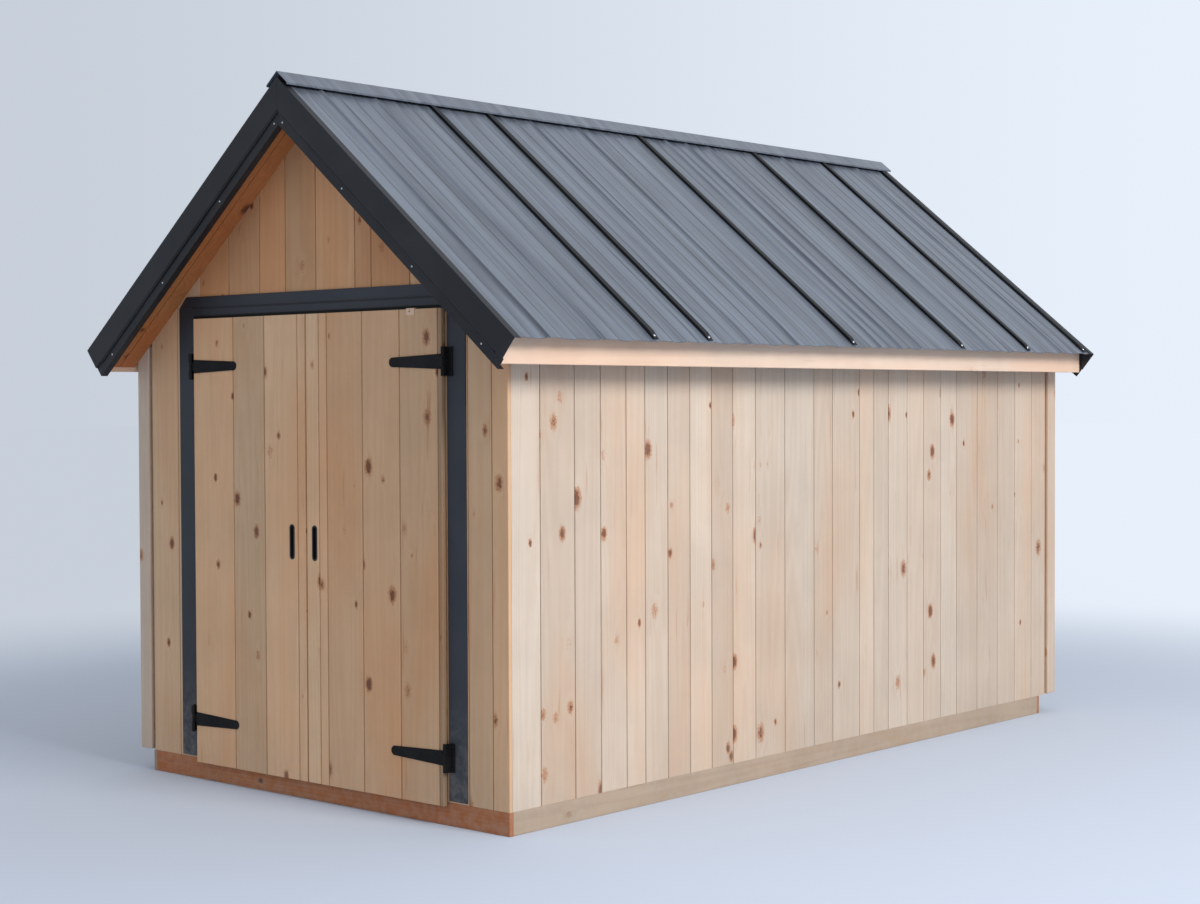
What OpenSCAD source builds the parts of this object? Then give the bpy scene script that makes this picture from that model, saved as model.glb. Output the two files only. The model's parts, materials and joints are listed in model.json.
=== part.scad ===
// Wooden garden shed with a steep gable roof of ribbed metal sheets and a pair of boarded doors.
// X runs across the shed, Y from the door gable (low Y) to the back, Z up from the ground.

/* [Base] */
// Width of the base across the door gable
base_w = 2110; // [1900:10:2600]
// Length of the base from front to back
base_l = 3832; // [3000:10:4800]
// Height of the base timbers
base_h = 88; // [70:1:150]
// Thickness of the base boards
base_t = 20; // [16:1:40]
// Width of each floor joist
joist_w = 45; // [35:1:80]
// Thickness of the floor boards
floor_t = 18; // [12:1:28]

/* [Walls] */
// Thickness of the cladding boards
clad_t = 16; // [12:1:24]
// Depth of the wall framing
frame_d = 60; // [40:1:80]
// Width of each stud and plate
stud_w = 38; // [30:1:50]
// How far the left wall stands past the base
past_left = 91; // [76:1:140]
// How far the back wall stands past the base
past_back = 161; // [100:1:200]
// Distance of the left end of the front boards from the edge of the base
front_boards_in = 10; // [2:1:40]
// How far the boards of the right wall run past the base
right_boards_past = 53; // [10:1:80]

/* [Roof] */
// Roof overhang past each side of the base, measured to the tip of a rake trim
side_over = 205; // [180:5:400]
// Height of the roof surface at the tip of a rake trim
eave_z = 1797; // [1700:5:2100]
// Height at which the two roof surfaces meet
ridge_z = 2828; // [2500:5:3200]
// Roof overhang past the front wall
front_over = 177; // [60:1:300]
// Roof overhang past the back wall
back_over = 16; // [14:1:300]
// Thickness of the metal sheets with their folds
sheet_t = 6; // [4:1:10]
// Thickness of the roof boards
deck_t = 20; // [15:1:28]
// Depth of the rafters
rafter_d = 70; // [50:1:100]
// Thickness of the boards under the front overhang
soffit_t = 16; // [10:1:22]
// Thickness of the fascia boards
fascia_t = 18; // [12:1:28]
// Distance from the side of the base to the outside of a fascia
fascia_out = 130; // [100:1:160]
// Height of the lower edge of a fascia
fascia_low_z = 1706; // [1650:1:1740]
// Width of each raised rib on the metal sheets
rib_w = 28; // [20:1:40]
// Height of each raised rib
rib_h = 12; // [8:1:24]
// Length of each wing of the ridge cap, measured down the slope
cap_wing = 64; // [40:1:120]

/* [Rake trims] */
// Depth of a rake trim, measured square to the slope
rake_d = 142; // [136:1:180]
// Depth of the upper face of a rake trim, above its step
rake_upper_d = 96; // [60:1:110]
// Depth of the step between the upper and lower faces
rake_step = 7; // [4:1:12]
// Thickness of the folded metal
metal_t = 2; // [1.5:0.1:3]
// Width of the lower return of a rake trim
rake_return = 32; // [20:1:45]

/* [Doors] */
// Half of the distance between the inner edges of the side trims
trim_half = 750; // [600:5:800]
// Width of a side trim
trim_w = 96; // [60:1:110]
// Thickness of the side trims and the header
trim_t = 6; // [4:1:10]
// Height of the bottom of the side trims above the base
trim_rise = 6; // [0:1:20]
// Gap between the left trim and the left door
left_gap = 22; // [14:1:30]
// Gap between the right trim and the right door
right_gap = 8; // [8:1:20]
// Place across the shed where the two doors meet
meet_x = -23; // [-60:1:60]
// Gap between the two doors
meet_gap = 7; // [6:1:12]
// Height of the underside of the doors
door_low_z = 76; // [30:1:82]
// Height of the top of the doors
door_top_z = 1920; // [1700:1:1930]
// Thickness of the door boards
door_t = 20; // [16:1:30]
// Clearance between the doors and the wall behind them
door_clear = 5; // [5:0.5:10]
// How far the doors cover the edges of the doorway
door_lap = 14; // [8:1:30]
// Width of a ledge across the back of a door
ledge_w = 90; // [60:1:120]
// Thickness of a ledge
ledge_t = 22; // [16:1:30]
// Height of the lower, narrow band of the header
header_lower_h = 34; // [20:1:50]
// Height of the upper, mitred band of the header
header_upper_h = 47; // [30:1:60]
// Gap between the top of the doors and the header
header_gap = 12; // [6:1:20]

/* [Hinges] */
// Height of the middle of the lower hinges
hinge_low_z = 256; // [200:1:500]
// Height of the middle of the upper hinges
hinge_high_z = 1723; // [1400:1:1750]
// Height of a hinge plate
plate_h = 108; // [80:1:150]
// Width of a hinge plate on its trim
plate_w = 24; // [16:1:40]
// Thickness of the plates and straps
plate_t = 3; // [2:0.5:4]
// Length of a strap from the edge of its door to its tip
strap_l = 280; // [150:5:320]
// Height of a strap at its wide end
strap_h = 56; // [40:1:64]
// Height of a strap at its rounded tip
strap_tip_h = 36; // [24:1:40]
// Outside radius of a hinge knuckle
knuckle_r = 6; // [5:0.5:8]
// Radius of a hinge pin
pin_r = 3; // [2:0.5:3.5]
// Running clearance around a hinge pin
pin_clear = 0.08; // [0.05:0.01:0.1]
// Gap between the knuckles along a pin
knuckle_gap = 1; // [0.5:0.5:3]

/* [Pulls] */
// Height of the middle of the pulls
pull_z = 1021; // [850:1:1200]
// Distance from the meeting edge to the middle of the left pull
left_pull_in = 81; // [40:1:120]
// Distance from the meeting edge to the middle of the right pull
right_pull_in = 47; // [40:1:120]
// Height of a pull
pull_h = 140; // [90:1:180]
// Width of a pull
pull_w = 30; // [24:1:50]
// Thickness of the rim and the cup of a pull
pull_t = 1.5; // [1:0.5:3]
// Width of the flat rim of a pull
rim_w = 4; // [3:1:8]
// Depth of the finger cup behind the face of the door
cup_d = 14; // [8:1:15]
// Clearance around the finger cup in its slot
cup_fit = 0.2; // [0.1:0.1:0.5]

/* [Hidden] */
$fn = 32;

// Base and wall planes
wall_d = clad_t + frame_d;
rake_y = (front_over + base_l + past_back + back_over) / 2;
front_y = -rake_y + front_over;
base_back_y = front_y + base_l;
back_y = base_back_y + past_back;
base_x = base_w / 2;
left_x = -base_x - past_left;
right_x = base_x;
floor_top = base_h + floor_t;
max_bay = 390;
board_lap = 12;

// Roof: w counts outwards from the roof surface, square to the slope, and u down the slope
roof_half_w = base_w / 2 + side_over;
pitch = atan((ridge_z - eave_z) / roof_half_w);
slope_l = roof_half_w / cos(pitch);
// Gap left between sloped faces that rest on each other
seat = 0.05;
sheet_w = -metal_t - seat;
deck_w = sheet_w - sheet_t;
rafter_w = deck_w - deck_t;
soffit_w = rafter_w - rafter_d;
fascia_x = base_x + fascia_out;
rake_inside = rake_step + metal_t + 1;
timber_y = rake_y - rake_inside;
ridge_gap = 1;
rib_inset = 16;
rib_end = 40;
rib_shares = [0.187, 0.266, 0.502, 0.710, 0.852, 0.983];
rib_tip_h = 3;
sheet_edge_in = 6;
cap_lip = 6;
back_return = back_over - rake_step;

// Doors: each hangs in front of the wall and covers the edges of the doorway
door_back_y = front_y - door_clear;
door_face_y = door_back_y - door_t;
left_door_x = -trim_half + left_gap;
right_door_x = trim_half - right_gap;
left_meet_x = meet_x - meet_gap / 2;
right_meet_x = meet_x + meet_gap / 2;
doorway_x0 = left_door_x + door_lap;
doorway_x1 = right_door_x - door_lap;
doorway_top = door_top_z - door_lap;
header_z = door_top_z + header_gap;
trim_top = header_z + header_lower_h;
ledge_in = 34;
ledge_clear = 12;
ledge_places = [0.12, 0.5, 0.86];

// Hinges: the pin stands in front of the trim, beside the edge of the door
pin_out = 11;
left_pin_x = left_door_x - pin_out;
right_pin_x = right_door_x + pin_out;
knuckle_stand = 0.5;
pin_y = door_face_y - knuckle_r - knuckle_stand;
knuckle_h = strap_h * 0.6;
strap_root = 4;
flange_gap = 1;

// Height of the plane that lies w outside the roof surface, at x from the ridge
function roof_z(x, w) = ridge_z - x * tan(pitch) + w / cos(pitch);

// Point on the right slope, u down it and w outside it
function slope_point(u, w) = [u * cos(pitch) + w * sin(pitch), ridge_z - u * sin(pitch) + w * cos(pitch)];

// Even places for n timbers of width t from a to b
function spread(a, b, n, t) = [for (i = [0:n - 1]) a + i * (b - t - a) / (n - 1)];

// Timbers needed so that no bay is wider than max_bay
function bay_count(a, b, t) = ceil((b - a - t) / (max_bay + t / 2)) + 1;

module block(x0, x1, y0, y1, z0, z1) {
    translate([x0, y0, z0]) cube([x1 - x0, y1 - y0, z1 - z0]);
}

// Outline in X and Z, drawn out along Y
module along_y(points, y0, y1) {
    translate([0, y1, 0]) rotate([90, 0, 0]) linear_extrude(y1 - y0) polygon(points);
}

// Puts a right-hand piece on the left, or leaves it on the right
module side(right) {
    mirror([right ? 0 : 1, 0, 0]) children();
}

// Layer of the right slope from a plumb cut at x0 to a square cut at u1
module slope_layer(x0, u1, w0, w1, y0, y1) {
    along_y([[x0, roof_z(x0, w1)], slope_point(u1, w1), slope_point(u1, w0), [x0, roof_z(x0, w0)]], y0, y1);
}

// Layer of the right slope between two plumb cuts
module plumb_layer(x0, x1, w0, w1, y0, y1) {
    along_y([[x0, roof_z(x0, w1)], [x1, roof_z(x1, w1)], [x1, roof_z(x1, w0)], [x0, roof_z(x0, w0)]], y0, y1);
}

// Base

module base_front() {
    color("peru") block(-base_x + base_t, base_x, front_y, front_y + base_t, 0, base_h);
}

module base_left() {
    color("peru") block(-base_x, -base_x + base_t, front_y, base_back_y, 0, base_h);
}

module base_right() {
    color("peru") block(base_x - base_t, base_x, front_y + base_t, base_back_y - base_t, 0, base_h);
}

module base_back() {
    color("peru") block(-base_x + base_t, base_x, base_back_y - base_t, base_back_y, 0, base_h);
}

module floor_joists() {
    y0 = front_y + base_t;
    y1 = base_back_y - base_t;
    color("burlywood") {
        for (y = spread(y0, y1, bay_count(y0, y1, joist_w), joist_w))
            block(-base_x + base_t, base_x - base_t, y, y + joist_w, 0, base_h);
    }
}

module floor_deck() {
    color("burlywood")
        block(left_x + wall_d, right_x - wall_d, front_y + wall_d, back_y - wall_d, base_h, floor_top);
}

// Cladding

module front_wall_left() {
    x0 = -base_x + front_boards_in;
    color("burlywood") along_y([
        [x0, base_h],
        [doorway_x0, base_h],
        [doorway_x0, roof_z(-doorway_x0, soffit_w)],
        [x0, roof_z(-x0, soffit_w)]
    ], front_y, front_y + clad_t);
}

module front_wall_right() {
    color("burlywood") along_y([
        [doorway_x1, base_h],
        [right_x, base_h],
        [right_x, roof_z(right_x, soffit_w)],
        [doorway_x1, roof_z(doorway_x1, soffit_w)]
    ], front_y, front_y + clad_t);
}

module front_gable() {
    color("burlywood") along_y([
        [doorway_x0, doorway_top],
        [doorway_x1, doorway_top],
        [doorway_x1, roof_z(doorway_x1, soffit_w)],
        [0, roof_z(0, soffit_w)],
        [doorway_x0, roof_z(-doorway_x0, soffit_w)]
    ], front_y, front_y + clad_t);
}

module back_wall() {
    color("burlywood") along_y([
        [left_x, base_h],
        [right_x - clad_t, base_h],
        [right_x - clad_t, roof_z(right_x - clad_t, soffit_w)],
        [0, roof_z(0, soffit_w)],
        [left_x, roof_z(-left_x, soffit_w)]
    ], back_y - clad_t, back_y);
}

module right_wall() {
    color("burlywood") along_y([
        [right_x - clad_t, base_h],
        [right_x, base_h],
        [right_x, roof_z(right_x, soffit_w)],
        [right_x - clad_t, roof_z(right_x - clad_t, soffit_w)]
    ], front_y + clad_t, base_back_y + right_boards_past);
}

module left_wall() {
    color("burlywood") along_y([
        [left_x, base_h],
        [left_x + clad_t, base_h],
        [left_x + clad_t, roof_z(-left_x - clad_t, soffit_w)],
        [left_x, roof_z(-left_x, soffit_w)]
    ], front_y + clad_t, back_y - clad_t);
}

// Strips that close the framing at the front left and back right corners
module corner_strips() {
    color("burlywood") {
        along_y([
            [left_x, base_h],
            [left_x + wall_d, base_h],
            [left_x + wall_d, roof_z(-left_x - wall_d, soffit_w)],
            [left_x, roof_z(-left_x, soffit_w)]
        ], front_y, front_y + clad_t);
        along_y([
            [right_x - clad_t, base_h],
            [right_x, base_h],
            [right_x, roof_z(right_x, soffit_w)],
            [right_x - clad_t, roof_z(right_x - clad_t, soffit_w)]
        ], back_y - wall_d, back_y);
    }
}

// Framing

// Studs and a bottom plate across X, under the slopes of the roof
module gable_studs(x0, x1, z0, y0, y1) {
    for (x = spread(x0, x1, bay_count(x0, x1, stud_w), stud_w)) {
        top = min(roof_z(abs(x), soffit_w), roof_z(abs(x + stud_w), soffit_w));
        block(x, x + stud_w, y0, y1, z0, top);
    }
    block(x0, x1, y0, y1, z0, z0 + stud_w);
}

// Has a wide timber behind the gap between the corner strip and the front boards
module front_frame_left() {
    x0 = left_x + wall_d - board_lap;
    x1 = -base_x + front_boards_in + board_lap;
    color("tan") {
        gable_studs(left_x + clad_t, doorway_x0, base_h, front_y + clad_t, front_y + wall_d);
        block(x0, x1, front_y + clad_t, front_y + wall_d, base_h, roof_z(-x0, soffit_w));
    }
}

module front_frame_right() {
    color("tan") gable_studs(doorway_x1, right_x - clad_t, base_h, front_y + clad_t, front_y + wall_d);
}

module front_gable_frame() {
    color("tan") gable_studs(doorway_x0, doorway_x1, doorway_top, front_y + clad_t, front_y + wall_d);
}

module back_frame() {
    color("tan") gable_studs(left_x + clad_t, right_x - clad_t, base_h, back_y - wall_d, back_y - clad_t);
}

// Studs between a bottom and a top plate along Y
module side_studs(x0, x1, y0, y1) {
    top = roof_z(max(abs(x0), abs(x1)), soffit_w);
    for (y = spread(y0, y1, bay_count(y0, y1, stud_w), stud_w))
        block(x0, x1, y, y + stud_w, base_h, top);
    block(x0, x1, y0, y1, base_h, base_h + stud_w);
    block(x0, x1, y0, y1, top - stud_w, top);
}

module left_frame() {
    color("tan") side_studs(left_x + clad_t, left_x + wall_d, front_y + wall_d, back_y - wall_d);
}

module right_frame() {
    color("tan") side_studs(right_x - wall_d, right_x - clad_t, front_y + wall_d, back_y - wall_d);
}

// Roof

module ridge_board() {
    color("tan") block(-stud_w / 2, stud_w / 2, -timber_y, timber_y,
        roof_z(0, soffit_w) + ridge_gap, roof_z(stud_w / 2, rafter_w));
}

module rafters(right) {
    y0 = front_y;
    y1 = back_y;
    color("tan") side(right) {
        for (y = spread(y0, y1, bay_count(y0, y1, stud_w), stud_w))
            plumb_layer(stud_w / 2, fascia_x - fascia_t, soffit_w + seat, rafter_w - seat, y, y + stud_w);
        plumb_layer(stud_w / 2, fascia_x - fascia_t, soffit_w + seat, rafter_w - seat, -timber_y, -timber_y + stud_w);
    }
}

module rafters_left() {
    rafters(false);
}

module rafters_right() {
    rafters(true);
}

module front_soffit() {
    color("sandybrown") {
        for (right = [false, true]) side(right)
            plumb_layer(ridge_gap, fascia_x - fascia_t, soffit_w - soffit_t, soffit_w, -timber_y, front_y);
    }
}

module roof_deck(right) {
    color("burlywood") side(right) plumb_layer(0, fascia_x, rafter_w, deck_w, -timber_y, timber_y);
}

module roof_deck_left() {
    roof_deck(false);
}

module roof_deck_right() {
    roof_deck(true);
}

module roof_sheet(right) {
    color("lightsteelblue") side(right)
        slope_layer(0, slope_l - sheet_edge_in, deck_w + seat, sheet_w, -timber_y, timber_y);
}

module roof_sheet_left() {
    roof_sheet(false);
}

module roof_sheet_right() {
    roof_sheet(true);
}

// Ribs: flat-topped covers over the sheet joints, thinned down at the eave
module roof_ribs(right) {
    u0 = rib_inset;
    u1 = slope_l - rib_inset;
    low = sheet_w + seat;
    top = sheet_w + rib_h;
    color("dimgray") side(right) {
        for (y = [for (share = rib_shares) rake_y * (2 * share - 1)])
            translate([0, 0, ridge_z]) rotate([0, pitch, 0]) translate([0, y + rib_w / 2, 0])
                rotate([90, 0, 0]) linear_extrude(rib_w) polygon([
                    [u0, low], [u0, top], [u1 - rib_end, top],
                    [u1, sheet_w + rib_tip_h], [u1, low]
                ]);
    }
}

module roof_ribs_left() {
    roof_ribs(false);
}

module roof_ribs_right() {
    roof_ribs(true);
}

// Folded cap with a lip turned down along each edge, which rests on the ribs
module ridge_cap() {
    low = sheet_w + rib_h + cap_lip * cos(pitch) + metal_t * sin(pitch);
    top = low + metal_t;
    tip = slope_point(cap_wing, top);
    half = [
        [0, roof_z(0, top)], tip, tip - [0, metal_t + cap_lip],
        tip - [metal_t, metal_t + cap_lip], [tip.x - metal_t, roof_z(tip.x - metal_t, low)], [0, roof_z(0, low)]
    ];
    color("lightsteelblue") along_y([
        for (p = half) p,
        for (i = [4:-1:1]) [-half[i].x, half[i].y]
    ], -rake_y, rake_y);
}

// Folded rake trim: a top flange over the sheet, a stepped face and a lower return
module rake_trim(right, low_return) {
    face = -rake_y;
    low_face = face + rake_step;
    flange = face + rake_return;
    color("darkslategray") side(right) intersection() {
        translate([0, 0, ridge_z]) rotate([0, pitch, 0]) translate([-slope_l / 4, 0, 0])
            rotate([90, 0, 90]) linear_extrude(slope_l * 1.25) polygon([
                [face, 0], [flange, 0], [flange, -metal_t], [face + metal_t, -metal_t],
                [face + metal_t, -rake_upper_d], [low_face + metal_t, -rake_upper_d],
                [low_face + metal_t, -rake_d + metal_t], [low_face + low_return, -rake_d + metal_t],
                [low_face + low_return, -rake_d], [low_face, -rake_d],
                [low_face, -rake_upper_d - metal_t], [face, -rake_upper_d - metal_t]
            ]);
        block(0, roof_half_w * 2, -rake_y - 1, -rake_y + rake_return * 2, 0, ridge_z + 10);
    }
}

module rake_front_left() {
    rake_trim(false, rake_return);
}

module rake_front_right() {
    rake_trim(true, rake_return);
}

// The back trims return as far as the back wall
module rake_back_left() {
    mirror([0, 1, 0]) rake_trim(false, back_return);
}

module rake_back_right() {
    mirror([0, 1, 0]) rake_trim(true, back_return);
}

module eave_fascia(right) {
    inner = fascia_x - fascia_t;
    color("wheat") side(right) along_y([
        [inner, fascia_low_z],
        [fascia_x, fascia_low_z],
        [fascia_x, roof_z(fascia_x, rafter_w - seat)],
        [inner, roof_z(inner, rafter_w - seat)]
    ], -timber_y, timber_y);
}

module eave_fascia_left() {
    eave_fascia(false);
}

module eave_fascia_right() {
    eave_fascia(true);
}

// Door surround

module door_side_trims() {
    color("darkslategray") {
        for (x = [-trim_half - trim_w, trim_half])
            block(x, x + trim_w, front_y - trim_t, front_y, base_h + trim_rise, trim_top);
    }
}

// Upper band with mitred ends, and a narrow lower band between the side trims
module door_header_trim() {
    color("darkslategray") {
        along_y([
            [-trim_half - trim_w, trim_top],
            [trim_half + trim_w, trim_top],
            [trim_half + trim_w - header_upper_h, trim_top + header_upper_h],
            [-trim_half - trim_w + header_upper_h, trim_top + header_upper_h]
        ], front_y - trim_t, front_y);
        block(-trim_half, trim_half, front_y - trim_t, front_y, header_z, trim_top);
    }
}

// Doors

// Oblong outline of a pull, grown by extra on every side
module oblong(extra) {
    r = pull_w / 2 + extra;
    square([2 * r, pull_h - pull_w], center = true);
    for (s = [-1, 1])
        translate([0, s * (pull_h - pull_w) / 2]) circle(r);
}

// Oblong prism standing out of a door face, from depth d0 to d1 behind the face
module oblong_slot(x, extra, d0, d1) {
    translate([x, door_face_y + d1, pull_z]) rotate([90, 0, 0]) linear_extrude(d1 - d0) oblong(extra);
}

module door_leaf(x0, x1, pull_x) {
    difference() {
        block(x0, x1, door_face_y, door_back_y, door_low_z, door_top_z);
        oblong_slot(pull_x, -rim_w, -1, cup_d);
    }
}

module left_door() {
    color("burlywood") door_leaf(left_door_x, left_meet_x, left_meet_x - left_pull_in);
}

module right_door() {
    color("burlywood") door_leaf(right_meet_x, right_door_x, right_meet_x + right_pull_in);
}

// Three ledges across the back of a door
module door_ledges(x0, x1) {
    low = floor_top + ledge_clear;
    high = doorway_top - ledge_clear;
    span = high - low;
    color("tan") for (part = ledge_places)
        block(x0, x1, door_back_y, door_back_y + ledge_t, low + part * span - ledge_w / 2,
            low + part * span + ledge_w / 2);
}

module left_door_ledges() {
    door_ledges(doorway_x0 + ledge_in, left_meet_x - ledge_in);
}

module right_door_ledges() {
    door_ledges(right_meet_x + ledge_in, doorway_x1 - ledge_in);
}

// Cup with a flat rim, seated in its slot in a door
module pull(x) {
    color("black") difference() {
        union() {
            oblong_slot(x, 0, -pull_t, 0);
            oblong_slot(x, -rim_w - cup_fit, -pull_t, cup_d);
        }
        oblong_slot(x, -rim_w - cup_fit - pull_t, -pull_t - 1, cup_d - pull_t);
    }
}

module left_pull() {
    pull(left_meet_x - left_pull_in);
}

module right_pull() {
    pull(right_meet_x + right_pull_in);
}

// Hinges, drawn for the left door with the pin at the origin of X

// Fixed half: a plate on the trim, a flange out to the pin, two knuckles and the pin
module hinge_plates() {
    trim_face = front_y - trim_t;
    flange_x = -knuckle_r - flange_gap;
    color("black") for (z = [hinge_low_z, hinge_high_z]) {
        half = plate_h / 2;
        block(flange_x - plate_w, flange_x, trim_face - plate_t, trim_face, z - half, z + half);
        block(flange_x - plate_t, flange_x, pin_y, trim_face, z - half, z + half);
        for (s = [-1, 1]) {
            z0 = s > 0 ? z + knuckle_h / 2 + knuckle_gap : z - half;
            z1 = s > 0 ? z + half : z - knuckle_h / 2 - knuckle_gap;
            block(flange_x - plate_t, 0, pin_y - pin_r, pin_y + pin_r, z0, z1);
            translate([0, pin_y, z0]) cylinder(h = z1 - z0, r = knuckle_r);
        }
        translate([0, pin_y, z - half]) cylinder(h = plate_h, r = pin_r);
    }
}

// Moving half: a knuckle bored for the pin and a tapered strap with a rounded tip
module hinge_straps() {
    tip_r = strap_tip_h / 2;
    tip_x = pin_out + strap_l - tip_r;
    root_x = pin_out + strap_root;
    color("black") for (z = [hinge_low_z, hinge_high_z]) {
        difference() {
            union() {
                translate([0, pin_y, z - knuckle_h / 2]) cylinder(h = knuckle_h, r = knuckle_r);
                block(0, root_x, door_face_y - plate_t, door_face_y, z - knuckle_h / 2, z + knuckle_h / 2);
                translate([0, door_face_y, z]) rotate([90, 0, 0]) linear_extrude(plate_t) {
                    polygon([[root_x, -strap_h / 2], [tip_x, -tip_r], [tip_x, tip_r], [root_x, strap_h / 2]]);
                    translate([tip_x, 0]) circle(tip_r);
                }
            }
            translate([0, pin_y, z - knuckle_h]) cylinder(h = 2 * knuckle_h, r = pin_r + pin_clear);
        }
    }
}

module left_hinge_plates() {
    translate([left_pin_x, 0, 0]) hinge_plates();
}

module right_hinge_plates() {
    translate([right_pin_x, 0, 0]) mirror([1, 0, 0]) hinge_plates();
}

module left_hinge_straps() {
    translate([left_pin_x, 0, 0]) hinge_straps();
}

module right_hinge_straps() {
    translate([right_pin_x, 0, 0]) mirror([1, 0, 0]) hinge_straps();
}

base_front();
base_back();
base_left();
base_right();
floor_joists();
floor_deck();
front_wall_left();
front_wall_right();
front_gable();
back_wall();
left_wall();
right_wall();
corner_strips();
front_frame_left();
front_frame_right();
front_gable_frame();
back_frame();
left_frame();
right_frame();
ridge_board();
rafters_left();
rafters_right();
front_soffit();
roof_deck_left();
roof_deck_right();
roof_sheet_left();
roof_sheet_right();
roof_ribs_left();
roof_ribs_right();
ridge_cap();
rake_front_left();
rake_front_right();
rake_back_left();
rake_back_right();
eave_fascia_left();
eave_fascia_right();
door_side_trims();
door_header_trim();
left_door();
right_door();
left_door_ledges();
right_door_ledges();
left_hinge_plates();
right_hinge_plates();
left_hinge_straps();
right_hinge_straps();
left_pull();
right_pull();
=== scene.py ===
import json
import math
import random

import bmesh
import bpy
from mathutils import Matrix, Vector

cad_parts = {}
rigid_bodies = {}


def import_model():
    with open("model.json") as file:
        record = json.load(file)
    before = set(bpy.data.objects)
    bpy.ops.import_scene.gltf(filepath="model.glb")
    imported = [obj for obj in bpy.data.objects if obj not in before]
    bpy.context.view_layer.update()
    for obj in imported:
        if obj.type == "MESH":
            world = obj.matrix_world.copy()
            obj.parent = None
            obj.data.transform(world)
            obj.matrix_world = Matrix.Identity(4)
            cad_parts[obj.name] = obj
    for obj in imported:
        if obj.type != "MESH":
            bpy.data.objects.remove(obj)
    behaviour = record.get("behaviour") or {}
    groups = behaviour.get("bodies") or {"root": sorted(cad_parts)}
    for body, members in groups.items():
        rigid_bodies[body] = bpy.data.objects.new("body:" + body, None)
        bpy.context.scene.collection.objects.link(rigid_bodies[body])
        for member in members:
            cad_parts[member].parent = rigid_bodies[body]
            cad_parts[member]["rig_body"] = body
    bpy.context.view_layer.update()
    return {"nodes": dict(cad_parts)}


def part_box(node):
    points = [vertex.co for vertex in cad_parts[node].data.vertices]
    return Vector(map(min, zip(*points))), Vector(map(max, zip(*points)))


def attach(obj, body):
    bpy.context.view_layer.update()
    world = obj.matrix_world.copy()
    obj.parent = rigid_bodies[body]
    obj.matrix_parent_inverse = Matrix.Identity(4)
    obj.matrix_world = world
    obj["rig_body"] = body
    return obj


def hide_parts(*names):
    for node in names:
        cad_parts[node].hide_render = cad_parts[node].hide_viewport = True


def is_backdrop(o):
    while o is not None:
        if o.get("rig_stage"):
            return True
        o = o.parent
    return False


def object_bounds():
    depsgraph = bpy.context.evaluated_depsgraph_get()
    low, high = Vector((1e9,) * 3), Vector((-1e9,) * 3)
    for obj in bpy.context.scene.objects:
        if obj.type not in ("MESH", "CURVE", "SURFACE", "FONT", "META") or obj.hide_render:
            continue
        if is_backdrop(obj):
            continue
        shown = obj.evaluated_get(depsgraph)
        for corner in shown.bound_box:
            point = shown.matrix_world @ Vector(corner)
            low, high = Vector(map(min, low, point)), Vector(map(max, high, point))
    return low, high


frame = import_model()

# A timber garden shed: the frame's plain walls, doors and roof layers are cut into boards, the metal
# parts get folded edges, and screws, roof folds and small fittings are added. Everything is in metres.

X, Y, Z = Vector((1, 0, 0)), Vector((0, 1, 0)), Vector((0, 0, 1))
rng = random.Random(7)

# Roof measures: the fall of the roof boards' top face, from the ridge to the eave, gives the pitch
deck_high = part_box("roof_deck_right")[1]
deck_corners = [v.co for v in frame["nodes"]["roof_deck_right"].data.vertices]
eave_top = max(c.z for c in deck_corners if c.x > deck_high.x - 1e-4)
PITCH = math.atan((deck_high.z - eave_top) / deck_high.x)
sheet_low, sheet_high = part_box("roof_sheet_right")
ridge_z = sheet_high.z
sheet_length = sheet_high.x / math.cos(PITCH)

# Gap between two boards, and the narrowest board that a seam may leave at a wall's end
SEAM_GAP, LEAST_BOARD = 0.0036, 0.015
# How far the end boards' cuts stand past the wall, and how close a long edge is to its board's side
PAST_END, NEAR_SIDE = 0.01, 1e-4
# A node thinner than this is one flat layer of boards, whose seams have tongues
FLAT_WALL = 0.05
# Where the tongues lie in the wall's thickness, and the painted shade that darkens them in their seams
TONGUE_FROM, TONGUE_TO, TONGUE_PAINTED_SHADE = 0.4, 0.6, 0.3
# Width of the plain boards, and how far their seams wander, on the walls, under the roof and on the floor
LEFT_BOARD, BACK_BOARD, WALL_WANDER = 0.148, 0.2, 0.01
ROOF_BOARD, FLOOR_BOARD = 0.105, 0.12

# Board joints, across each wall
FRONT_LEFT_SEAMS = [-0.868]
FRONT_RIGHT_SEAMS = [0.85, 0.973]
GABLE_SEAMS = [-0.523, -0.327, -0.167, 0.016, 0.243, 0.335, 0.549]
LEFT_DOOR_SEAMS = [-0.471, -0.275, -0.073]
RIGHT_DOOR_SEAMS = [0.055, 0.102, 0.306, 0.514, 0.72]
SIDE_SEAMS = [-1.746, -1.557, -1.41, -1.261, -1.149, -1.01, -0.871, -0.732, -0.592, -0.438, -0.233, -0.022,
    0.117, 0.324, 0.437, 0.554, 0.708, 0.847, 0.995, 1.134, 1.32, 1.508, 1.673, 1.836]

# Thin folds pressed into the roof sheets, along the eave: where, how high and how wide they are
ROOF_FOLDS = [-1.911, -1.625, -0.722, -0.408, 0.203, 0.352, 0.522, 1.118, 1.781]
FOLD_RISE, FOLD_WIDTH = 0.008, 0.0065
# The left slope's folds lie a little further along
LEFT_FOLD_SHIFT = 0.06
# Small creases that repeat between the folds
CREASE_RISE, CREASE_WIDTH, CREASE_PITCH = 0.0026, 0.0042, 0.078
SHEET_THICKNESS = 0.0018
# The lower end of each sheet sags in soft waves
SAG_LENGTH, SAG_DEPTH = 0.12, 0.0022

# A rounded bead in the step of each rake trim: how deep it lies, its radius and where it stops at the eave
BEAD_DEPTH, BEAD_RADIUS, BEAD_SHORT = 0.1005, 0.0034, 0.102
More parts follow.
